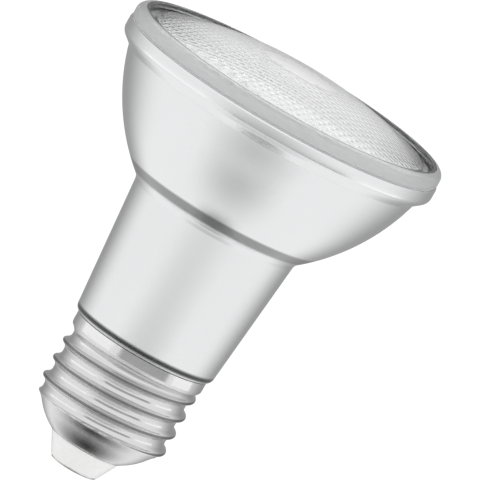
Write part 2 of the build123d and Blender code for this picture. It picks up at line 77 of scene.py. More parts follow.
class Section:
    """Half section of a turned piece, as radius and height in millimetres along its surface."""

    def __init__(self, radius: float, height: float) -> None:
        """Starts the section at a point.

        Args:
            radius: Distance from the beam axis.
            height: Height above the centre contact's end face.
        """
        self.tip = np.array((radius, height))
        self.runs: list[list[np.ndarray]] = []
        self.roundings: list[float] = []

    def line(self, radius: float, height: float, rounding: float = 0.0) -> "Section":
        """Adds a straight run.

        Args:
            radius: Radius of its end.
            height: Height of its end.
            rounding: Radius that the corner at its end gets.

        Returns:
            The section itself, so that runs can be chained.
        """
        end = np.array((radius, height))
        self.runs.append([self.tip, end])
        self.roundings.append(rounding)
        self.tip = end
        return self

    def arc(self, radius: float, height: float, bend: float, rounding: float = 0.0) -> "Section":
        """Adds an arc.

        Args:
            radius: Radius of its end.
            height: Height of its end.
            bend: The arc's own radius, positive where it bulges to the right of the way along it.
            rounding: Radius that the corner at its end gets.

        Returns:
            The section itself, so that runs can be chained.
        """
        end = np.array((radius, height))
        chord = end - self.tip
        length = math.hypot(*chord)
        right = np.array((chord[1], -chord[0])) / length
        depth = math.sqrt(bend**2 - length**2 / 4)
        centre = (self.tip + end) / 2 - math.copysign(depth, bend) * right
        self.runs.append(arc_points(centre, self.tip, end, ARC_STEP / abs(bend)))
        self.roundings.append(rounding)
        self.tip = end
        return self

    def outline(self) -> np.ndarray:
        """Gives the section's points with its corners rounded.

        Returns:
            Rows of radius and height.
        """
        points: list[np.ndarray] = []
        skip = 0
        for number, (run, rounding) in enumerate(zip(self.runs, self.roundings)):
            if rounding > 0:
                after = self.runs[number + 1]
                arc = corner_arc(run, after, rounding)
                points.extend(run[skip: nearest_on(run, arc[0])[0] + 1])
                points.extend(arc)
                skip = nearest_on(after, arc[-1])[0] + 1
            else:
                points.extend(run[skip:-1])
                skip = 0
        points.append(self.tip)
        return np.array(points)


def arc_points(centre: np.ndarray, start: np.ndarray, end: np.ndarray, step: float) -> list[np.ndarray]:
    """Lays points on the shorter arc between two points.

    Args:
        centre: The arc's centre.
        start: Its first point.
        end: Its last point.
        step: The largest angle between neighbours, in radians.

    Returns:
        The points, with both ends.
    """
    radius = math.hypot(*(start - centre))
    first = math.atan2(*(start - centre)[::-1])
    sweep = math.remainder(math.atan2(*(end - centre)[::-1]) - first, math.tau)
    count = max(4, math.ceil(abs(sweep) / step))
    angles = first + sweep * np.linspace(0, 1, count + 1)
    return [centre + radius * np.array((math.cos(angle), math.sin(angle))) for angle in angles]


def nearest_on(points: list[np.ndarray], place: np.ndarray) -> tuple[int, np.ndarray, float]:
    """Finds the point of a polyline nearest to a place.

    Args:
        points: The polyline's points in order.
        place: The place to measure from.

    Returns:
        The index of the run's first point, the nearest point and its distance.
    """
    best = (0, points[0], math.inf)
    for index, (start, end) in enumerate(zip(points, points[1:])):
        run = end - start
        share = min(1.0, max(0.0, float((place - start) @ run / max(run @ run, 1e-12))))
        spot = start + share * run
        distance = math.hypot(*(place - spot))
        if distance < best[2]:
            best = (index, spot, distance)
    return best


def walk_along(points: list[np.ndarray], distance: float) -> tuple[np.ndarray, np.ndarray]:
    """Walks a distance along a polyline.

    Args:
        points: The polyline's points in order.
        distance: How far to walk from its first point, at most its length.

    Returns:
        The place reached and the unit direction there.
    """
    for start, end in zip(points, points[1:]):
        length = math.hypot(*(end - start))
        way = (end - start) / length
        if distance <= length:
            return start + way * distance, way
        distance -= length
    raise ValueError("the rounding is larger than its run")


def corner_arc(before: list[np.ndarray], after: list[np.ndarray], radius: float) -> list[np.ndarray]:
    """Finds the arc that rounds the corner between two runs.

    Args:
        before: The run that ends in the corner.
        after: The run that starts there.
        radius: The arc's radius.

    Returns:
        Points on the arc, from where it leaves the first run to where it meets the second.
    """
    way_in = before[-1] - before[-2]
    way_out = after[1] - after[0]
    turn = math.copysign(1.0, way_in[0] * way_out[1] - way_in[1] * way_out[0])

    def touch(distance: float) -> tuple[np.ndarray, np.ndarray]:
        """Gives the point at a distance before the corner and the centre of an arc that leaves there."""
        place, back = walk_along(before[::-1], distance)
        return place, place + turn * radius * np.array((back[1], -back[0]))

    high = 0.0
    while nearest_on(after, touch(high)[1])[2] < radius * (1 - 1e-9):
        high += radius / CORNER_TRIES
    low = high - radius / CORNER_TRIES
    for _ in range(CORNER_TRIES):
        middle = (low + high) / 2
        if nearest_on(after, touch(middle)[1])[2] < radius:
            low = middle
        else:
            high = middle
    start, centre = touch(high)
    return arc_points(centre, start, nearest_on(after, centre)[1], math.radians(CORNER_STEP))


def ring_loops(radii: np.ndarray, heights: np.ndarray) -> np.ndarray:
    """Places loops round the beam axis.

    Args:
        radii: Radius of each loop at each of its points, one row for each loop.
        heights: Height of each loop.

    Returns:
        The x, y and z of each point of each loop.
    """
    angles = np.linspace(0, math.tau, radii.shape[1], endpoint=False)
    level = np.repeat(heights[:, None], radii.shape[1], axis=1)
    return np.stack((radii * np.cos(angles), radii * np.sin(angles), level), axis=-1)


def loft_mesh(loops: np.ndarray, closed: bool) -> MeshData:
    """Joins loops of equally many points into a grid of faces.

    Args:
        loops: The x, y and z of each point of each loop, in millimetres.
        closed: Whether the last loop joins the first.

    Returns:
        The vertices in metres and the faces, loop by loop.
    """
    count, points, _ = loops.shape
    faces = []
    for loop in range(count if closed else count - 1):
        here = loop * points
        there = (loop + 1) % count * points
        for step in range(points):
            turn = (step + 1) % points
            faces.append((here + step, here + turn, there + turn, there + step))
    return (loops.reshape(-1, 3) * MM).tolist(), faces


def make_piece(
    name: str,
    vertices: list[list[float]],
    faces: list[tuple[int, ...]],
    crease: float = 34.0,
    skins: list[int] | None = None,
) -> bpy.types.Object:
    """Makes a smooth-shaded object whose folds above an angle stay crisp.

    Args:
        name: The piece's name.
        vertices: Its vertices in metres.
        faces: Its faces.
        crease: The angle in degrees above which an edge is sharp.
        skins: The material slot of each face.

    Returns:
        The new object, linked to the scene.
    """
    mesh = bpy.data.meshes.new(name)
    mesh.from_pydata(vertices, [], faces)
    if skins is not None:
        mesh.polygons.foreach_set("material_index", skins)
    work = bmesh.new()
    work.from_mesh(mesh)
    bmesh.ops.remove_doubles(work, verts=work.verts, dist=WELD)
    bmesh.ops.dissolve_degenerate(work, edges=work.edges, dist=SLIVER)
    bmesh.ops.recalc_face_normals(work, faces=work.faces)
    limit = math.radians(crease)
    for face in work.faces:
        face.smooth = True
    for edge in work.edges:
        edge.smooth = edge.calc_face_angle(0.0) < limit
    work.to_mesh(mesh)
    work.free()
    piece = bpy.data.objects.new(name, mesh)
    bpy.context.scene.collection.objects.link(piece)
    return piece


def turned_mesh(outline: np.ndarray, segments: int, closed: bool = True) -> MeshData:
    """Turns a section round the beam axis.

    Args:
        outline: Rows of radius and height in millimetres.
        segments: Number of steps round the axis.
        closed: Whether the section is a ring that doesn't touch the axis.

    Returns:
        The vertices in metres and the faces.
    """
    radii = np.repeat(outline[:, :1], segments, axis=1)
    return loft_mesh(ring_loops(radii, outline[:, 1]), closed)


def seat(piece: bpy.types.Object, slot: str, *nodes: str) -> None:
    """Lets a piece ride on the bulb in place of the nodes that it stands for, and logs its slot.

    Args:
        piece: The piece.
        slot: The record's material slot.
        nodes: The nodes that it replaces.
    """
    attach(piece, "root")
    if nodes:
        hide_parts(*nodes)
    LOG.info("%s: %d faces, slot %s", piece.name, len(piece.data.polygons), slot)


# Shader groups shared by the finishes


class Wiring:
    """Node tree under construction, with one call to add a node and feed its inputs."""

    def __init__(self, tree: bpy.types.NodeTree) -> None:
        """Starts with a tree."""
        self.tree = tree

    def feed(self, socket: bpy.types.NodeSocket, value: Value) -> None:
        """Links a socket to another one, or sets its own number or colour.

        Args:
            socket: The socket to feed.
            value: What it gets.
        """
        if isinstance(value, bpy.types.NodeSocket):
            self.tree.links.new(value, socket)
        elif socket.type == "RGBA":
            socket.default_value = (*value, 1.0)
        else:
            socket.default_value = value

    def node(self, kind: str, *first: Value, **named: Value | str) -> bpy.types.Node:
        """Adds a node.

        Args:
            kind: Its kind, without the prefix that all kinds share.
            first: What its first inputs get, in order.
            named: What other inputs get, with underscores for spaces; a word sets one of the node's options.

        Returns:
            The node.
        """
        made = self.tree.nodes.new("ShaderNode" + kind)
        for name, value in named.items():
            if isinstance(value, str):
                setattr(made, name, value)
        for socket, value in zip(made.inputs, first):
            self.feed(socket, value)
        for name, value in named.items():
            if not isinstance(value, str):
                self.feed(made.inputs[name.replace("_", " ")], value)
        return made

    def math(self, operation: str, *values: Value) -> bpy.types.NodeSocket:
        """Works out one operation on numbers."""
        return self.node("Math", *values, operation=operation).outputs[0]

    def ease(self, source: Value, start: Value, end: Value) -> bpy.types.NodeSocket:
        """Eases from 0 to 1 while the source goes from start to end."""
        return self.node("MapRange", source, start, end, interpolation_type="SMOOTHSTEP").outputs["Result"]

    def place(self) -> bpy.types.NodeSocket:
        """Gives the place on the piece, in metres."""
        return self.node("TexCoord").outputs["Object"]

    def height(self) -> bpy.types.NodeSocket:
        """Gives the height along the beam axis, in metres."""
        return self.node("SeparateXYZ", self.place()).outputs["Z"]

    def off_axis(self) -> tuple[bpy.types.NodeSocket, bpy.types.NodeSocket]:
        """Gives the way from the beam axis to the place, and its length."""
        way = self.node("VectorMath", self.place(), (1.0, 1.0, 0.0), operation="MULTIPLY").outputs[0]
        return way, self.node("VectorMath", way, operation="LENGTH").outputs["Value"]


class Effect(Enum):
    """Surface effects that several finishes share."""

    FINE_GRAIN = "fine_grain"
    HANDLING_MARKS = "handling_marks"
    TURNED_LINES = "turned_lines"


class EffectLibrary:
    """Builds each shared effect once, as a shader node group with a mask as its output."""

    def __init__(self) -> None:
        """Builds the groups."""
        self.groups: dict[Effect, bpy.types.NodeTree] = {
            Effect.FINE_GRAIN: self.fine_grain(),
            Effect.HANDLING_MARKS: self.handling_marks(),
            Effect.TURNED_LINES: self.turned_lines(),
        }

    def start(self, effect: Effect, **inputs: float) -> tuple[Wiring, bpy.types.NodeOutputs]:
        """Starts a group.

        Args:
            effect: The effect that it holds.
            inputs: Names and first values of its inputs.

        Returns:
            The group under construction and its inputs.
        """
        tree = bpy.data.node_groups.new(effect.value, "ShaderNodeTree")
        for name, value in inputs.items():
            socket = tree.interface.new_socket(name, in_out="INPUT", socket_type="NodeSocketFloat")
            socket.default_value = value
        tree.interface.new_socket("Mask", in_out="OUTPUT", socket_type="NodeSocketFloat")
        return Wiring(tree), tree.nodes.new("NodeGroupInput").outputs

    def finish(self, group: Wiring, mask: bpy.types.NodeSocket) -> bpy.types.NodeTree:
        """Puts out a group's mask and returns the finished group."""
        group.feed(group.tree.nodes.new("NodeGroupOutput").inputs["Mask"], mask)
        return group.tree

    def fine_grain(self) -> bpy.types.NodeTree:
        """Builds an even fine grain, with its scale in features per metre.

        Returns:
            The group.
        """
        group, given = self.start(Effect.FINE_GRAIN, Scale=4000.0, Detail=3.0)
        grain = group.node(
            "TexNoise", group.place(), Scale=given["Scale"], Detail=given["Detail"], Roughness=0.6
        )
        return self.finish(group, grain.outputs["Fac"])

    def handling_marks(self) -> bpy.types.NodeTree:
        """Builds sparse soft patches, as fingers and packing leave them.

        Returns:
            The group.
        """
        softness = 0.25
        group, given = self.start(Effect.HANDLING_MARKS, Scale=60.0, Cover=0.35)
        patch = group.node("TexNoise", group.place(), Scale=given["Scale"], Detail=5.0, Distortion=0.6)
        edge = group.math("SUBTRACT", 1.0, given["Cover"])
        mask = group.ease(patch.outputs["Fac"], edge, group.math("ADD", edge, softness))
        return self.finish(group, mask)

    def turned_lines(self) -> bpy.types.NodeTree:
        """Builds fine rings round the beam axis, as spinning and rolling leave them.

        Returns:
            The group.
        """
        group, given = self.start(Effect.TURNED_LINES, Scale=5000.0, Drift=0.02)
        way, reach = group.off_axis()
        line = group.node("CombineXYZ", X=reach, Z=group.height()).outputs[0]
        drift = group.node("VectorMath", way, Scale=given["Drift"], operation="SCALE").outputs[0]
        joined = group.node("VectorMath", line, drift, operation="ADD").outputs[0]
        rings = group.node("TexNoise", joined, Scale=given["Scale"], Detail=4.0)
        return self.finish(group, rings.outputs["Fac"])


class Shader(Wiring):
    """One material under construction, with shorthand for what the finishes use."""

    def __init__(self, name: str, effects: EffectLibrary) -> None:
        """Makes the material with its Principled shader.

        Args:
            name: The material's name.
            effects: The shared effects.
        """
        self.material = bpy.data.materials.new(name)
        self.material.use_nodes = True
        super().__init__(self.material.node_tree)
        self.effects = effects

    def set(self, **values: Value) -> None:
        """Sets or links the shader's sockets, with underscores for the spaces in their names."""
        for name, value in values.items():
            self.feed(self.tree.nodes["Principled BSDF"].inputs[name.replace("_", " ")], value)

    def effect(self, effect: Effect, **values: float) -> bpy.types.NodeSocket:
        """Places a shared effect.

        Args:
            effect: The effect.
            values: Its inputs.

        Returns:
            Its mask.
        """
        placed = self.node("Group")
        placed.node_tree = self.effects.groups[effect]
        for name, value in values.items():
            self.feed(placed.inputs[name], value)
        return placed.outputs["Mask"]

    def colours(self, mask: bpy.types.NodeSocket, low: Colour, high: Colour) -> bpy.types.NodeSocket:
        """Mixes two colours by a mask."""
        return self.node("Mix", data_type="RGBA", Factor=mask, A=low, B=high).outputs["Result"]

    def spread(self, mask: bpy.types.NodeSocket, low: float, high: float) -> bpy.types.NodeSocket:
        """Spreads a mask over a range of values."""
        return self.node("MapRange", mask, To_Min=low, To_Max=high).outputs["Result"]

    def relief(self, height: bpy.types.NodeSocket, depth: float) -> bpy.types.NodeSocket:
        """Gives the normal of a surface raised by a mask, with the depth in metres."""
        return self.node("Bump", Strength=1.0, Distance=depth, Height=height).outputs["Normal"]


# Finishes


def tinted(colour: Colour, factor: float) -> Colour:
    """Makes a colour lighter or darker by a factor."""
    return tuple(min(1.0, channel * factor) for channel in colour)


class Finish:
    """Look of a material slot, whose kinds each wire their own shader."""

    def dress(self, name: str, effects: EffectLibrary) -> bpy.types.Material:
        """Builds the finish's material.

        Args:
            name: The material's name.
            effects: The shared effects.

        Returns:
            The material.
        """
        shader = Shader(name, effects)
        self.wire(shader)
        return shader.material

    def wire(self, shader: Shader) -> None:
        """Sets and links the sockets of a new shader."""
        raise NotImplementedError


@dataclass(frozen=True)
class Plastic(Finish):
    """Moulded, dipped or coated surface with a fine grain."""

    colour: Colour
    roughness: float = 0.4
    grain: float = 3500.0
    depth: float = 0.000012
    coat: float = 0.0
    coat_roughness: float = 0.12
    marks: float = 220.0
    wear: float = 0.12
    shades: tuple[float, float] = (0.93, 1.06)

    def wire(self, shader: Shader) -> None:
        """Wires the grain, the handling marks and the coat.

        Args:
            shader: The material under construction.
        """
        shader.set(Coat_Weight=self.coat, Coat_Roughness=self.coat_roughness)
        grain = shader.effect(Effect.FINE_GRAIN, Scale=self.grain)
        marks = shader.effect(Effect.HANDLING_MARKS, Scale=self.marks)
        dark, light = (tinted(self.colour, shade) for shade in self.shades)
        shader.set(
            Base_Color=shader.colours(grain, dark, light),
            Roughness=shader.spread(marks, self.roughness, self.roughness + self.wear),
            Normal=shader.relief(grain, self.depth),
        )


@dataclass(frozen=True)
class Metal(Finish):
    """Plated, spun or rolled metal with fine rings round the axis and faint handling marks."""

    colour: Colour
    roughness: float = 0.14
    lines: float = 6000.0
    depth: float = 0.000002
    marks: float = 140.0
    mark_shade: float = 0.95
    wear: float = 0.05

    def tone(self, shader: Shader, marks: bpy.types.NodeSocket) -> bpy.types.NodeSocket:
        """Gives the metal's colour, dimmer under the handling marks."""
        return shader.colours(marks, self.colour, tinted(self.colour, self.mark_shade))

    def wire(self, shader: Shader) -> None:
        """Wires the rings and the handling marks.

        Args:
            shader: The material under construction.
        """
        shader.set(Metallic=1.0)
        rings = shader.effect(Effect.TURNED_LINES, Scale=self.lines)
        marks = shader.effect(Effect.HANDLING_MARKS, Scale=self.marks)
        shader.set(
            Base_Color=self.tone(shader, marks),
            Roughness=shader.spread(marks, self.roughness, self.roughness + self.wear),
            Normal=shader.relief(rings, self.depth),
        )


@dataclass(frozen=True)
class RolledMetal(Metal):
    """Plated sheet with a rolled thread and painted shade along the thread's crests, standing in for dark
    reflections there, in millimetres.
    """

    # crest: radii in millimetres of the band of painted shade along the crests
    crest: tuple[float, float] = (13.05, 13.2)
    crest_painted_shade: float = 0.3
    thread_top: float = 22.3

    def tone(self, shader: Shader, marks: bpy.types.NodeSocket) -> bpy.types.NodeSocket:
        """Gives the metal's colour, with painted shade along the crests below the thread's top.

        Args:
            shader: The material under construction.
            marks: The handling marks; not used here.

        Returns:
            The colour.
        """
        start, end = self.crest
        # painted shade along the crests, standing in for dark reflections in the thread
        crest_painted_shade_mask = shader.ease(shader.off_axis()[1], start * MM, end * MM)
        low = shader.math("LESS_THAN", shader.height(), self.thread_top * MM)
        mask = shader.math("MULTIPLY", crest_painted_shade_mask, low)
        return shader.colours(mask, self.colour, tinted(self.colour, self.crest_painted_shade))


@dataclass(frozen=True)
class SilveredGlass(Finish):
    """Glass silvered from behind: a satin metal under a clear skin, with painted shade in bands at the joint
    above the cap and at the waist, standing in for dark reflections there.
    """

    colour: Colour
    roughness: float
    # joint and waist: heights in millimetres of the bands of painted shade, dark reflections painted into the
    # silver
    joint: tuple[float, float] = (25.9, 27.4)
    joint_painted_shade: float = 0.08
    waist: tuple[float, float] = (53.2, 55.7)
    waist_painted_shade: float = 0.34
    fade: float = 0.5
    grain: float = 5200.0
    shades: tuple[float, float] = (0.97, 1.02)
    marks: float = 90.0
    wear: float = 0.05

    def bands(self, shader: Shader) -> bpy.types.NodeSocket:
        """Gives the bands of painted shade at the joint and the waist, which stand in for dark reflections
        there.

        Args:
            shader: The material under construction.

        Returns:
            The factor that darkens the silver there.
        """
        low, high = self.joint[0], self.waist[1]
        height = shader.node("MapRange", shader.height(), low * MM, high * MM).outputs["Result"]
        ramp = shader.node("ValToRGB", height)
        stops = ramp.color_ramp.elements
        stops[0].color = (1.0, 1.0, 1.0, 1.0)
        for (start, end), shade in ((self.joint, self.joint_painted_shade), (self.waist, self.waist_painted_shade)):
            levels = ((start, 1.0), (start + self.fade, shade), (end - self.fade, shade), (end, 1.0))
            for level_height, level in levels:
                share = (level_height - low) / (high - low)
                if 0 < share < 1:
                    stops.new(share).color = (level, level, level, 1.0)
        return ramp.outputs["Color"]

    def wire(self, shader: Shader) -> None:
        """Wires the silver, its bands of painted shade and the clear skin.

        Args:
            shader: The material under construction.
        """
        shader.set(Metallic=1.0, Coat_Weight=0.35, Coat_Roughness=0.06, Coat_IOR=1.5)
        marks = shader.effect(Effect.HANDLING_MARKS, Scale=self.marks)
        grain = shader.effect(Effect.FINE_GRAIN, Scale=self.grain)
        dark, light = (tinted(self.colour, shade) for shade in self.shades)
        silver = shader.colours(grain, dark, light)
        # painted shade: the bands darken the silver's colour at the joint and the waist
        shaded = shader.node(
            "Mix", data_type="RGBA", blend_type="MULTIPLY", Factor=1.0, A=silver, B=self.bands(shader)
        )
        shader.set(
            Base_Color=shaded.outputs["Result"],
            Roughness=shader.spread(marks, self.roughness, self.roughness + self.wear),
        )


@dataclass(frozen=True)
class ClearGlass(Finish):
    """Pressed clear glass, faintly tinted, with slight waves from the mould."""

    colour: Colour = (0.995, 0.998, 0.997)
    roughness: float = 0.015
    clearness: float = 1.0
    marks: float = 70.0
    wear: float = 0.03
    waves: float = 160.0
    wave_depth: float = 0.00001

    def wire(self, shader: Shader) -> None:
        """Wires the glass and its waves.

        Args:
            shader: The material under construction.
        """
        shader.set(Base_Color=self.colour, IOR=1.5, Transmission_Weight=self.clearness)
        marks = shader.effect(Effect.HANDLING_MARKS, Scale=self.marks)
        waves = shader.effect(Effect.FINE_GRAIN, Scale=self.waves, Detail=1.0)
        shader.set(
            Roughness=shader.spread(marks, self.roughness, self.roughness + self.wear),
            Normal=shader.relief(waves, self.wave_depth),
        )


@dataclass(frozen=True)
class Board(Finish):
    """Circuit board under solder mask, with the tracks showing as a slightly raised pattern."""

    colour: Colour
    track: Colour
    scale: float
    patch_shade: float = 0.95
    track_width: float = 0.06
    grain: float = 2500.0
    roughness: tuple[float, float] = (0.35, 0.5)
    depth: float = 0.00003

    def wire(self, shader: Shader) -> None:
        """Wires the mask over the tracks.

        Args:
            shader: The material under construction.
        """
        shader.set(Coat_Weight=0.25, Coat_Roughness=0.2)
        tracks = shader.node(
            "TexBrick",
            shader.place(),
            Color1=self.colour,
            Color2=tinted(self.colour, self.patch_shade),
            Mortar=self.track,
            Scale=self.scale,
            Mortar_Size=self.track_width,
        )
        grain = shader.effect(Effect.FINE_GRAIN, Scale=self.grain)
        shader.set(
            Base_Color=tracks.outputs["Color"],
            Roughness=shader.spread(grain, *self.roughness),
            Normal=shader.relief(tracks.outputs["Fac"], self.depth),
        )


@dataclass(frozen=True)
class Winding(Finish):
    """Enamelled wire wound in close turns along a direction."""

    colour: Colour
    turns: float = 900.0
    gap_painted_shade: float = 0.45
    grain: float = 3000.0
    roughness: tuple[float, float] = (0.25, 0.4)
    depth: float = 0.00012

    def wire(self, shader: Shader) -> None:
        """Wires the turns of enamelled wire, with painted shade in the gaps between them.

        Args:
            shader: The material under construction.
        """
        shader.set(Metallic=1.0, Coat_Weight=0.6)
        wave = shader.node("TexWave", shader.place(), bands_direction="Y", Scale=self.turns, Distortion=0.4)
        wire = wave.outputs["Fac"]
        grain = shader.effect(Effect.FINE_GRAIN, Scale=self.grain)
        # painted shade: the colour darkens in the gaps between the turns
        shader.set(
            Base_Color=shader.colours(wire, tinted(self.colour, self.gap_painted_shade), self.colour),
            Roughness=shader.spread(grain, *self.roughness),
            Normal=shader.relief(wire, self.depth),
        )


# The bulb's sub-assemblies


@dataclass
class Reflector:
    """Pressed glass reflector: spigot, neck, bowl and rim, in millimetres."""

    segments: int = 288
    wall: float = 2.0
    neck_overhang: float = 0.7
    neck_corner: float = 1.3
    waist_radius: float = 16.45
    waist_height: float = 52.4
    waist_fillet: float = 2.0
    bowl_bend: float = 39.85
    rim_overhang: float = 2.13
    rim_underside: float = 1.78
    rim_height: float = 4.45
    rim_corner: float = 1.5
    rim_edge: float = 0.4
    mouth_wall: float = 1.2
    spigot_radius: float = 12.555
    spigot_wall: float = 1.5
    ledge_rise: float = 2.2
    ledge_radius: float = 16.2

    def build(self) -> bpy.types.Object:
        """Turns the reflector's section, with the silvered inside as its second skin.

        Returns:
            The reflector.
        """
        low, high = (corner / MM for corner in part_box("reflector_shell"))
        cap_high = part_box("screw_shell")[1] / MM
        rim = high.x
        seam = high.z
        collar = cap_high.z
        neck_radius = cap_high.x + self.neck_overhang
        spigot = low.z
        bowl_top = rim - self.rim_overhang
        rim_bottom = seam - self.rim_height
        ledge = self.waist_height + self.ledge_rise
        mouth = bowl_top - self.mouth_wall
        outside = Section(self.spigot_radius, spigot)
        outside.line(self.spigot_radius, collar).line(neck_radius, collar, self.neck_corner)
        outside.line(self.waist_radius, self.waist_height, self.waist_fillet)
        outside.arc(bowl_top, rim_bottom, self.bowl_bend)
        outside.line(rim, rim_bottom + self.rim_underside, self.rim_corner)
        outside.line(rim, seam, self.rim_edge).line(mouth, seam)
        inside = Section(mouth, seam).arc(self.ledge_radius, ledge, -self.bowl_bend)
        inside.line(self.waist_radius - self.wall, ledge)
        inside.line(neck_radius - self.wall, collar + self.wall)
        inside.line(self.spigot_radius - self.spigot_wall, collar)
        inside.line(self.spigot_radius - self.spigot_wall, spigot)
        outer = outside.outline()
        outline = np.concatenate((outer, inside.outline()[1:]))
        vertices, faces = turned_mesh(outline, self.segments)
        inner_from = (len(outer) - 1) * self.segments
        skins = [int(index >= inner_from) for index in range(len(faces))]
        return make_piece("silvered_reflector", vertices, faces, skins=skins)


@dataclass
class Lens:
    """Pressed glass lens with a raised lip, a groove and lenslets pressed into its face, in millimetres."""

    segments: int = 240
    edge_height: float = 2.75
    edge_rounding: float = 1.5
    foot_rounding: float = 0.35
    lip_flat: float = 0.7
    lip_rounding: float = 0.25
    recess: float = 0.85
    groove_width: float = 1.7
    step_height: float = 0.28
    rise: float = 4.4
    thickness: float = 2.6
    back_radius: float = 28.12
    back_rings: int = 24
    plain_radius: float = 8.4
    lenslet_pitch: float = 1.71
    lenslet_bend: float = 7.0
    lenslet_turn: float = 90.0
    lenslet_steps: int = 4
    lenslet_border: float = 0.5
    crease: float = 20.0
    point_gap: float = 1e-6

    def dome(self, radius: np.ndarray, edge: float, height: float) -> np.ndarray:
        """Gives the height of a shallow dome.

        Args:
            radius: Distance from the axis.
            edge: Radius of the dome's edge.
            height: Height of its edge.

        Returns:
            The height at each radius.
        """
        bend = (edge**2 + self.rise**2) / (2 * self.rise)
        return height + np.sqrt(bend**2 - radius**2) - (bend - self.rise)

    def lenslet_field(self, radius: float) -> np.ndarray:
        """Lays the points of the lenslets over the face, with a plain round middle.

        Args:
            radius: Radius of the field.

        Returns:
            Rows of x, y and how far the lenslet lies below the face there, as a negative number.
        """
        corner = self.lenslet_pitch / math.sqrt(3)
        step = corner / self.lenslet_steps
        reach = math.ceil(radius / step) + 2
        first, second = np.meshgrid(np.arange(-reach, reach + 1), np.arange(-2 * reach, 2 * reach + 1))
        x = (first + second / 2).ravel() * step
        y = second.ravel() * step * math.sqrt(3) / 2
        keep = np.hypot(x, y) < radius - self.lenslet_border
        x, y = x[keep], y[keep]
        row_height = self.lenslet_pitch * math.sqrt(3) / 2
        away = np.full(len(x), np.inf)
        middle = np.zeros(len(x))
        for shift in (-1, 0, 1):
            row = np.round(x / row_height) + shift
            start = (row % 2) * self.lenslet_pitch / 2
            place = np.round((y - start) / self.lenslet_pitch) * self.lenslet_pitch + start
            gap = np.hypot(x - row * row_height, y - place)
            middle = np.where(gap < away, np.hypot(row * row_height, place), middle)
            away = np.minimum(away, gap)
        sunk = np.sqrt(self.lenslet_bend**2 - away**2) - self.lenslet_bend
        sunk[middle < self.plain_radius] = 0.0
        turn = math.radians(self.lenslet_turn)
        return np.stack(
            (x * math.cos(turn) - y * math.sin(turn), x * math.sin(turn) + y * math.cos(turn), sunk), axis=1
        )

    def build(self) -> bpy.types.Object:
        """Turns the lens's back and edge and closes them with the field of lenslets.

        Returns:
            The lens.
        """
        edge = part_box("front_lens")[1].x / MM
        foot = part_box("lens_seal")[1].z / MM
        lip = foot + self.edge_height
        inner = edge - self.edge_rounding - self.lip_flat
        groove = lip - self.recess
        face_radius = inner - self.groove_width
        face_height = groove + self.step_height
        back_height = face_height - self.thickness
        back = np.linspace(0, self.back_radius, self.back_rings)
        levels = self.dome(back, self.back_radius, back_height)
        section = Section(0, float(levels[0]))
        for radius, level in zip(back[1:], levels[1:]):
            section.line(float(radius), float(level))
        section.line(self.back_radius, foot)
        section.line(edge, foot, self.foot_rounding).line(edge, lip, self.edge_rounding)
        section.line(inner, lip, self.lip_rounding).line(inner, groove).line(face_radius, groove)
        section.line(face_radius, face_height)
        outline = section.outline()
        vertices, faces = turned_mesh(outline, self.segments, closed=False)
        field_points = self.lenslet_field(face_radius)
        angles = np.linspace(0, math.tau, self.segments, endpoint=False)
        border = face_radius * np.stack((np.cos(angles), np.sin(angles)), axis=1)
        flat = [Vector(place) for place in np.concatenate((border, field_points[:, :2]))]
        loop = [(step, (step + 1) % self.segments) for step in range(self.segments)]
        places, _, triangles, origins, _, _ = delaunay_2d_cdt(flat, loop, [], 0, self.point_gap)
        sunk = np.concatenate((np.zeros(self.segments), field_points[:, 2]))
        offset = len(vertices)
        for place, origin in zip(places, origins):
            dome = float(self.dome(np.array(min(place.length, face_radius)), face_radius, face_height))
            vertices.append((place.x * MM, place.y * MM, (dome + sunk[origin[0]]) * MM))
        faces.extend(tuple(offset + index for index in triangle) for triangle in triangles)
        edge_from, edge_to = (
            int(np.argmin(np.hypot(outline[:, 0] - radius, outline[:, 1] - height))) * self.segments
            for radius, height in ((edge - self.foot_rounding, foot), (edge - self.edge_rounding, lip))
        )
        skins = [int(edge_from <= index < edge_to) for index in range(len(faces))]
        return make_piece("patterned_lens", vertices, faces, self.crease, skins)


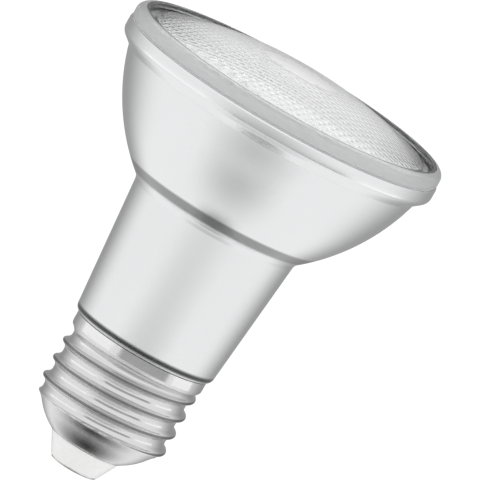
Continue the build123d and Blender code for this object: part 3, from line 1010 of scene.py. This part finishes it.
@dataclass
class ScrewCap:
    """Rolled screw shell, insulator cone and contact plate, in millimetres."""

    segments: int = 288
    rows: int = 230
    inner_rows: int = 60
    pitch: float = 3.629
    major_radius: float = 13.225
    minor_radius: float = 12.08
    crest_bend: float = 0.45
    core_radius: float = 12.13
    first_crest: float = 10.6
    wall: float = 0.35
    tail_radius: float = 7.15
    tail_edge: float = 0.5
    tail_height: float = 5.1
    tail_bend: float = 12.5
    tail_chamfer: float = 0.12
    inside_lift: float = 0.1
    thread_zone: float = 12.2
    collar_slope: float = 1.5
    collar_rounding: float = 0.6
    past_collar: float = 99.0
    blend: float = 0.16
    run_out: float = 0.02
    crease: float = 48.0
    insulator_end: float = 4.8
    insulator_inset: float = 0.12
    insulator_rounding: float = 0.35
    insulator_lip: float = 0.08
    insulator_bore: float = 0.9
    insulator_gap: float = 0.05
    insulator_segments: int = 192
    flange_height: float = 1.1
    flange_rounding: float = 0.2
    contact_radius: float = 4.6
    contact_rounding: float = 0.17
    contact_segments: int = 128
    dimple_radius: float = 1.6
    dimple_depth: float = 0.12
    dimple_slope: float = 0.3
    dimple_roundings: tuple[float, float] = (0.2, 0.15)
    stem_radius: float = 0.85
    stem_rounding: float = 0.1

    def ridge(self, away: np.ndarray) -> np.ndarray:
        """Gives the thread's radius at a distance from its nearest crest along the axis.

        Args:
            away: The distance, at most half a pitch.

        Returns:
            The radius.
        """
        half = self.pitch / 2
        depth = self.major_radius - self.minor_radius
        both = (half**2 + depth**2) / (2 * depth)
        share = half * self.crest_bend / both
        root_bend = both - self.crest_bend
        crest_middle = self.major_radius - self.crest_bend
        crest = crest_middle + np.sqrt(self.crest_bend**2 - np.minimum(away, share) ** 2)
        root_away = np.minimum(half - away, half - share)
        root = self.minor_radius + root_bend - np.sqrt(root_bend**2 - root_away**2)
        return np.where(away < share, crest, root)

    def body(self, heights: np.ndarray, bottom: float, collar_radius: float) -> np.ndarray:
        """Gives the shell's radius without its thread.

        Args:
            heights: Heights to give it at.
            bottom: Height of the shell's lower edge.
            collar_radius: Radius of the collar.

        Returns:
            The radius at each height.
        """
        tail_top = bottom + self.tail_height
        slope = tail_top + self.thread_zone
        outline = Section(self.tail_radius, bottom).arc(self.core_radius, tail_top, self.tail_bend)
        outline.line(self.core_radius, slope).line(
            collar_radius, slope + self.collar_slope, self.collar_rounding
        )
        outline.line(collar_radius, slope + self.past_collar)
        points = outline.outline()
        return np.interp(heights, points[:, 1], points[:, 0])

    def build_shell(self) -> bpy.types.Object:
        """Rolls the screw shell, its thread blended into the tail and the collar.

        Returns:
            The screw shell.
        """
        low, high = (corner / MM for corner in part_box("screw_shell"))
        bottom, top, collar = low.z, high.z, high.x
        tail_top = bottom + self.tail_height
        angles = np.linspace(0, math.tau, self.segments, endpoint=False)

        def surface(heights: np.ndarray) -> np.ndarray:
            """Gives the outer radius of the shell.

            Args:
                heights: Heights to give it at.

            Returns:
                The radius for each height and angle.
            """
            turns = (heights[:, None] - self.first_crest) / self.pitch - angles / math.tau
            ridge = self.ridge(np.abs(turns - np.round(turns)) * self.pitch)
            body = np.repeat(self.body(heights, bottom, collar)[:, None], self.segments, axis=1)
            rise = np.clip((heights - tail_top) / self.pitch + 0.5, 0, 1) ** 2 * (3 * self.pitch / 4)
            ridge = np.minimum(ridge, body + rise[:, None] - self.run_out)
            over = np.maximum(self.blend - np.abs(ridge - body), 0) / self.blend
            return np.minimum(np.maximum(ridge, body) + over**2 * self.blend / 4, collar)

        outer = np.linspace(bottom + self.tail_chamfer, top, self.rows)
        inner = np.linspace(top, bottom + self.inside_lift, self.inner_rows)
        edge = surface(outer[:1])
        radii = np.concatenate(
            (edge - self.tail_edge, edge - self.tail_chamfer, surface(outer), surface(inner) - self.wall)
        )
        heights = np.concatenate(((bottom, bottom), outer, inner))
        loops = ring_loops(radii, heights)
        return make_piece("rolled_screw_shell", *loft_mesh(loops, closed=True), self.crease)

    def build_insulator(self) -> bpy.types.Object:
        """Turns the insulator, from the contact up to its flange inside the shell.

        Returns:
            The insulator.
        """
        low, high = (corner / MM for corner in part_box("cap_insulator"))
        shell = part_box("screw_shell")[0].z / MM
        neck = self.tail_radius - self.tail_edge - self.insulator_gap
        flange = high.z - self.flange_height
        section = Section(self.insulator_bore, low.z)
        section.line(self.insulator_end, low.z, self.insulator_rounding)
        section.line(self.tail_radius - self.insulator_inset, shell, self.insulator_lip)
        section.line(neck, shell).line(neck, flange).line(high.x, flange)
        section.line(high.x, high.z, self.flange_rounding).line(self.insulator_bore, high.z)
        return make_piece("insulator_cone", *turned_mesh(section.outline(), self.insulator_segments))

    def build_contact(self) -> bpy.types.Object:
        """Turns the contact plate with its dimple and stem.

        Returns:
            The contact.
        """
        low, high = (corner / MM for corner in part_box("centre_contact"))
        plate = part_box("cap_insulator")[0].z / MM
        dimple = low.z + self.dimple_depth
        inner_rounding, outer_rounding = self.dimple_roundings
        section = Section(0, dimple).line(self.dimple_radius - self.dimple_slope, dimple, inner_rounding)
        section.line(self.dimple_radius, low.z, outer_rounding)
        section.line(self.contact_radius, low.z, self.contact_rounding).line(self.contact_radius, plate)
        section.line(self.stem_radius, plate).line(self.stem_radius, high.z, self.stem_rounding)
        outline = section.line(0, high.z).outline()
        return make_piece("contact_plate", *turned_mesh(outline, self.contact_segments, closed=False))


@dataclass
class LightSource:
    """Ring of light-emitting packages on the board, in millimetres."""

    points: int = 48
    ring_radius: float = 7.6
    ring_count: int = 8
    width: float = 2.8
    length: float = 3.5
    squareness: float = 12.0
    bevel: float = 0.12
    window_radius: float = 1.1
    window_slope: float = 0.1
    window_depth: float = 0.12
    bevel_step: float = 0.3
    fill_share: float = 0.6
    fill_rise: tuple[float, float] = (0.03, 0.04)

    def outline(self, inset: float) -> np.ndarray:
        """Gives the package's rounded outline.

        Args:
            inset: How far inside its full size the outline runs.

        Returns:
            The x and y of its points.
        """
        angles = np.linspace(0, math.tau, self.points, endpoint=False)
        way = np.stack((np.cos(angles), np.sin(angles)), axis=1)
        half = np.array((self.width / 2 - inset, self.length / 2 - inset))
        reach = np.sum(np.abs(way / half) ** self.squareness, axis=1) ** (-1 / self.squareness)
        return way * reach[:, None]

    def package_loops(self, height: float) -> np.ndarray:
        """Gives the loops of one package, from the middle of its foot to the middle of its window.

        Args:
            height: The package's height.

        Returns:
            The x, y and z of each point of each loop.
        """
        angles = np.linspace(0, math.tau, self.points, endpoint=False)
        round_way = np.stack((np.cos(angles), np.sin(angles)), axis=1)
        floor = height - self.window_depth
        step = self.bevel * self.bevel_step
        edge_rise, middle_rise = self.fill_rise
        levels = [
            (0 * round_way, 0.0),
            (self.outline(0), 0.0),
            (self.outline(0), height - self.bevel),
            (self.outline(step), height - step),
            (self.outline(self.bevel), height),
            ((self.window_radius + self.window_slope) * round_way, height),
            (self.window_radius * round_way, floor),
            (self.window_radius * self.fill_share * round_way, floor + edge_rise),
            (0 * round_way, floor + middle_rise),
        ]
        return np.array([np.column_stack((flat, np.full(self.points, level))) for flat, level in levels])

    def build(self) -> bpy.types.Object:
        """Sets the packages on the board, with their windows as the second skin.

        Returns:
            The packages as one piece.
        """
        low, high = (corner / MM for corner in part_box("led_packages"))
        loops = self.package_loops(high.z - low.z)
        spots = [(0.0, 0.0)]
        for index in range(self.ring_count):
            spots.append((self.ring_radius, math.tau * (index + 0.5) / self.ring_count))
        vertices, faces, skins = [], [], []
        for radius, angle in spots:
            along, across = math.cos(angle), math.sin(angle)
            turn = np.array(((along, across, 0), (-across, along, 0), (0, 0, 1)))
            placed = (loops + (radius, 0, low.z)) @ turn
            more_vertices, more_faces = loft_mesh(placed, closed=False)
            faces.extend(tuple(len(vertices) + index for index in face) for face in more_faces)
            vertices.extend(more_vertices)
            window_from = (len(loops) - 3) * self.points
            skins.extend(int(index >= window_from) for index in range(len(more_faces)))
        return make_piece("light_packages", vertices, faces, skins=skins)


# Studio and camera


def bare_material(name: str) -> tuple[bpy.types.Material, Wiring]:
    """Makes a material with no nodes.

    Args:
        name: The material's name.

    Returns:
        The material and the wiring to fill it.
    """
    material = bpy.data.materials.new(name)
    material.use_nodes = True
    material.node_tree.nodes.clear()
    return material, Wiring(material.node_tree)


@dataclass(frozen=True)
class Panel:
    """Studio panel that only reflections show, fading out towards its edges, in metres and degrees."""

    name: str
    level: float
    fade: float
    rows: int = 17
    columns: int = 41

    def material(self) -> bpy.types.Material:
        """Makes the panel's material.

        Returns:
            The material.
        """
        material, wiring = bare_material(self.name)
        path = wiring.node("LightPath").outputs
        mirrored = wiring.math("GREATER_THAN", path["Is Glossy Ray"], path["Is Transmission Ray"])
        cover = wiring.node("Attribute", attribute_name="cover").outputs["Fac"]
        clear = wiring.node("BsdfTransparent").outputs[0]
        glow = wiring.node("Emission", Strength=self.level).outputs[0]
        choice = wiring.node("MixShader", wiring.math("MULTIPLY", mirrored, cover), clear, glow)
        wiring.node("OutputMaterial", Surface=choice.outputs[0])
        return material

    def lay(self, *places: np.ndarray | float) -> bpy.types.Object:
        """Builds the panel over a grid of places.

        Args:
            places: Their x, y and z, in rows and columns or the same all over.

        Returns:
            The panel.
        """
        grid = np.stack(np.broadcast_arrays(*places), axis=-1)
        faces = []
        for row in range(self.rows - 1):
            for first in range(row * self.columns, (row + 1) * self.columns - 1):
                faces.append((first, first + 1, first + self.columns + 1, first + self.columns))
        panel = make_piece(self.name, grid.reshape(-1, 3).tolist(), faces)
        inset = [1 - np.abs(np.linspace(-1, 1, count)) for count in (self.rows, self.columns)]
        down, across = (np.clip(share / self.fade, 0, 1) for share in inset)
        cover = np.outer(down**2 * (3 - 2 * down), across**2 * (3 - 2 * across))
        panel.data.attributes.new("cover", "FLOAT", "POINT").data.foreach_set("value", cover.ravel())
        panel.data.materials.append(self.material())
        return panel

    def wrap(
        self, reach: tuple[float, float], heights: tuple[float, float], distance: float
    ) -> bpy.types.Object:
        """Hangs the panel in a curve round the bulb.

        Args:
            reach: Turns of its two ends to the right of the front.
            heights: Heights of its lower and upper edge.
            distance: Its distance from the beam axis.

        Returns:
            The panel.
        """
        turns = np.radians(np.linspace(*reach, self.columns))
        levels = np.linspace(*heights, self.rows)[:, None]
        return self.lay(distance * np.sin(turns), -distance * np.cos(turns), levels)

    def flat(
        self, front: tuple[float, float], back: tuple[float, float], height: float
    ) -> bpy.types.Object:
        """Lays the panel level under the bulb.

        Args:
            front: Place of its front edge along y and half its width there.
            back: The same of its back edge.
            height: Its height.

        Returns:
            The panel.
        """
        depth, half = np.linspace(front, back, self.rows).T[:, :, None]
        return self.lay(half * np.linspace(-1, 1, self.columns), depth, height)


@dataclass
class Studio:
    """White floor, white surroundings, panels and the camera, in metres and degrees."""

    floor_height: float = -0.02
    floor_size: float = 2.4
    floor_colour: Colour = (0.3, 0.3, 0.3)
    floor_glow: float = 0.76
    elevation: float = 9.1
    roll: float = 30.0
    distance: float = 4.0
    view_width: float = 0.08661
    aim_height: float = 0.05127
    aim_right: float = 0.00561
    light_bounces: int = 32
    cap_panel_distance: float = 0.3
    cap_panel_heights: tuple[float, float] = (-0.033, 0.02)
    softbox_level: float = 1.25
    flag_level: float = 0.4
    back_level: float = 0.35
    front_level: float = 0.6
    dark_level: float = 0.05

    def build_floor(self) -> bpy.types.Object:
        """Lays the floor, white to the camera and shaded by the bulb.

        Returns:
            The floor.
        """
        half = self.floor_size / 2
        corners = [(-half, -half), (half, -half), (half, half), (-half, half)]
        floor = make_piece("studio_floor", [(x, y, self.floor_height) for x, y in corners], [(0, 1, 2, 3)])
        material, wiring = bare_material("floor_white")
        paint = wiring.node("BsdfDiffuse", Color=self.floor_colour).outputs[0]
        glow = wiring.node("Emission", Strength=self.floor_glow).outputs[0]
        seen = wiring.node("AddShader", paint, glow).outputs[0]
        clear = wiring.node("BsdfTransparent").outputs[0]
        mirrored = wiring.node("LightPath").outputs["Is Glossy Ray"]
        underside = wiring.node("NewGeometry").outputs["Backfacing"]
        choice = wiring.node("MixShader", wiring.math("MAXIMUM", mirrored, underside), seen, clear)
        wiring.node("OutputMaterial", Surface=choice.outputs[0])
        floor.data.materials.append(material)
        return floor

    def build_surroundings(self) -> None:
        """Lights the bulb evenly from all round with a white world, which metal and glass show too."""
        world = bpy.data.worlds.new("studio")
        bpy.context.scene.world = world
        world.use_nodes = True
        background = world.node_tree.nodes["Background"]
        background.inputs["Color"].default_value = (1.0, 1.0, 1.0, 1.0)
        background.inputs["Strength"].default_value = 1.0
        light = bpy.context.scene.cycles
        light.max_bounces = self.light_bounces
        light.transmission_bounces = self.light_bounces
        light.glossy_bounces = self.light_bounces // 2

    def build_panels(self) -> None:
        """Sets softboxes and a flag round the cap, a flag behind the bulb and cards in front and below."""
        cap = {"heights": self.cap_panel_heights, "distance": self.cap_panel_distance}
        Panel("softbox_left", self.softbox_level, fade=0.3).wrap(reach=(-115, -35), **cap)
        Panel("softbox_right", self.softbox_level, fade=0.3).wrap(reach=(66, 116), **cap)
        Panel("grey_flag", self.flag_level, fade=0.2).wrap(reach=(-30, 64), **cap)
        Panel("back_flag", self.back_level, fade=0.7).wrap(
            reach=(90, 270), heights=(-0.3, 0.35), distance=0.35
        )
        Panel("front_card", self.front_level, fade=1.0).wrap(
            reach=(-50, 50), heights=(-0.03, 0.09), distance=0.32
        )
        Panel("lower_card", self.front_level, fade=1.0).wrap(
            reach=(-50, 50), heights=(-0.45, 0.0), distance=0.34
        )
        Panel("floor_card", self.front_level, fade=1.0, columns=33).flat(
            front=(-0.12, 0.09), back=(0.0, 0.035), height=-0.015
        )
        Panel("dark_card", self.dark_level, fade=1.0, columns=33).flat(
            front=(-0.024, 0.018), back=(0.012, 0.018), height=-0.004
        )

    def backwards(self) -> Vector:
        """Gives the direction from the bulb back to the camera."""
        tilt = math.radians(self.elevation)
        return Vector((0, -math.cos(tilt), math.sin(tilt)))

    def build_camera(self) -> bpy.types.Object:
        """Sets the camera above the lens's plane, rolled so that the bulb leans to the right.

        Returns:
            The camera.
        """
        roll = math.radians(self.roll)
        back = self.backwards()
        level_right = Vector((1, 0, 0))
        level_up = back.cross(level_right)
        right = level_right * math.cos(roll) + level_up * math.sin(roll)
        up = level_up * math.cos(roll) - level_right * math.sin(roll)
        aim = Vector((0, 0, self.aim_height)) + level_right * self.aim_right
        camera = bpy.data.objects.new("photo_camera", bpy.data.cameras.new("photo_camera"))
        bpy.context.scene.collection.objects.link(camera)
        camera.data.lens = camera.data.sensor_width * self.distance / self.view_width
        turn = Matrix((right, up, back)).transposed().to_4x4()
        camera.matrix_world = Matrix.Translation(aim + back * self.distance) @ turn
        bpy.context.scene.camera = camera
        return camera


# Assembly


@dataclass
class Bulb:
    """The whole bulb: its pieces, and the finish of each slot."""

    effects: EffectLibrary
    nodes: dict[str, bpy.types.Object]
    reflector: Reflector = field(default_factory=Reflector)
    lens: Lens = field(default_factory=Lens)
    cap: ScrewCap = field(default_factory=ScrewCap)
    source: LightSource = field(default_factory=LightSource)

    def finishes(self) -> dict[str, Finish]:
        """Chooses the finishes.

        Returns:
            The finish of each material slot of the record.
        """
        nickel = (0.70, 0.70, 0.70)
        return {
            "lens_glass": ClearGlass(roughness=0.03),
            "mirror_glass": SilveredGlass((0.80, 0.805, 0.81), roughness=0.18),
            "cap_nickel": RolledMetal(nickel, roughness=0.1),
            "insulator_white": Plastic((0.84, 0.84, 0.835), roughness=0.32, coat=0.3),
            "contact_nickel": Metal(nickel, roughness=0.2, lines=9000.0),
            "cement": Plastic((0.62, 0.60, 0.55), roughness=0.8, grain=1800.0, depth=0.00006),
            "seal_grey": Plastic((0.72, 0.73, 0.74), roughness=0.6, grain=2600.0),
            "spreader_aluminium": Metal((0.78, 0.79, 0.80), roughness=0.35, lines=9000.0, depth=0.000006),
            "board_white": Board((0.86, 0.86, 0.85), track=(0.78, 0.78, 0.77), scale=260.0),
            "led_phosphor": Plastic((0.90, 0.74, 0.25), roughness=0.35, grain=9000.0, coat=0.5),
            "screw_steel": Metal((0.62, 0.62, 0.63), roughness=0.28, lines=12000.0),
            "lead_red": Plastic((0.52, 0.05, 0.04), roughness=0.45),
            "lead_black": Plastic((0.03, 0.03, 0.03), roughness=0.45),
            "lead_brown": Plastic((0.19, 0.09, 0.045), roughness=0.45),
            "lead_blue": Plastic((0.05, 0.13, 0.38), roughness=0.45),
            "solder_tin": Metal((0.70, 0.71, 0.72), roughness=0.3, lines=15000.0),
            "sleeve_white": Plastic((0.74, 0.74, 0.73), roughness=0.5),
            "board_green": Board((0.02, 0.14, 0.06), track=(0.05, 0.22, 0.10), scale=190.0),
            "capacitor_black": Plastic((0.02, 0.02, 0.025), roughness=0.35, coat=0.4),
            "film_yellow": Plastic((0.66, 0.42, 0.04), roughness=0.3, coat=0.5),
            "ferrite_grey": Plastic((0.05, 0.05, 0.05), roughness=0.6, grain=1500.0, depth=0.00003),
            "winding_copper": Winding((0.62, 0.27, 0.12)),
            "varistor_blue": Plastic((0.04, 0.12, 0.34), roughness=0.35, grain=2000.0, depth=0.00003),
            "resistor_green": Plastic((0.25, 0.32, 0.20), roughness=0.4),
            "package_black": Plastic((0.02, 0.02, 0.02), roughness=0.55, grain=5000.0, depth=0.00002),
            "chip_ceramic": Plastic((0.42, 0.31, 0.20), roughness=0.5, grain=5000.0),
        }

    def build(self, record: dict) -> None:
        """Builds the pieces, replaces the nodes that they stand for and dresses the rest.

        Args:
            record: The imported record.
        """
        finishes = self.finishes()
        dressed = {slot: finish.dress(slot, self.effects) for slot, finish in finishes.items()}
        silvering = Metal((0.90, 0.905, 0.91), roughness=0.12, lines=3000.0)
        ground_edge = ClearGlass((0.72, 0.73, 0.73), roughness=0.25, clearness=0.5)
        moulding = Plastic((0.80, 0.80, 0.78), roughness=0.4, grain=8000.0)
        mirror = silvering.dress("bowl_silvering", self.effects)
        satin = ground_edge.dress("lens_edge", self.effects)
        package = moulding.dress("package_body", self.effects)
        made = [
            (self.reflector.build(), "mirror_glass", "reflector_shell", (mirror,)),
            (self.lens.build(), "lens_glass", "front_lens", (satin,)),
            (self.cap.build_shell(), "cap_nickel", "screw_shell", ()),
            (self.cap.build_insulator(), "insulator_white", "cap_insulator", ()),
            (self.cap.build_contact(), "contact_nickel", "centre_contact", ()),
        ]
        for piece, slot, node, more in made:
            for material in (dressed[slot], *more):
                piece.data.materials.append(material)
            seat(piece, slot, node)
        packages = self.source.build()
        packages.data.materials.append(package)
        packages.data.materials.append(dressed["led_phosphor"])
        seat(packages, "led_phosphor", "led_packages")
        for subpart in record["subparts"]:
            node = self.nodes[subpart["node"]]
            node.data.materials.clear()
            node.data.materials.append(dressed[subpart["material_slot"]])
            LOG.info("%s: slot %s", subpart["node"], subpart["material_slot"])


def main() -> None:
    """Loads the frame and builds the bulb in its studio."""
    logging.basicConfig(level=logging.INFO, format="%(name)s: %(message)s")
    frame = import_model()
    bpy.context.scene.view_settings.view_transform = "Standard"
    studio = Studio()
    studio.build_camera()
    studio.build_surroundings()
    studio.build_floor()
    studio.build_panels()
    Bulb(EffectLibrary(), frame["nodes"]).build(frame["record"])


if __name__ == "__main__":
    main()
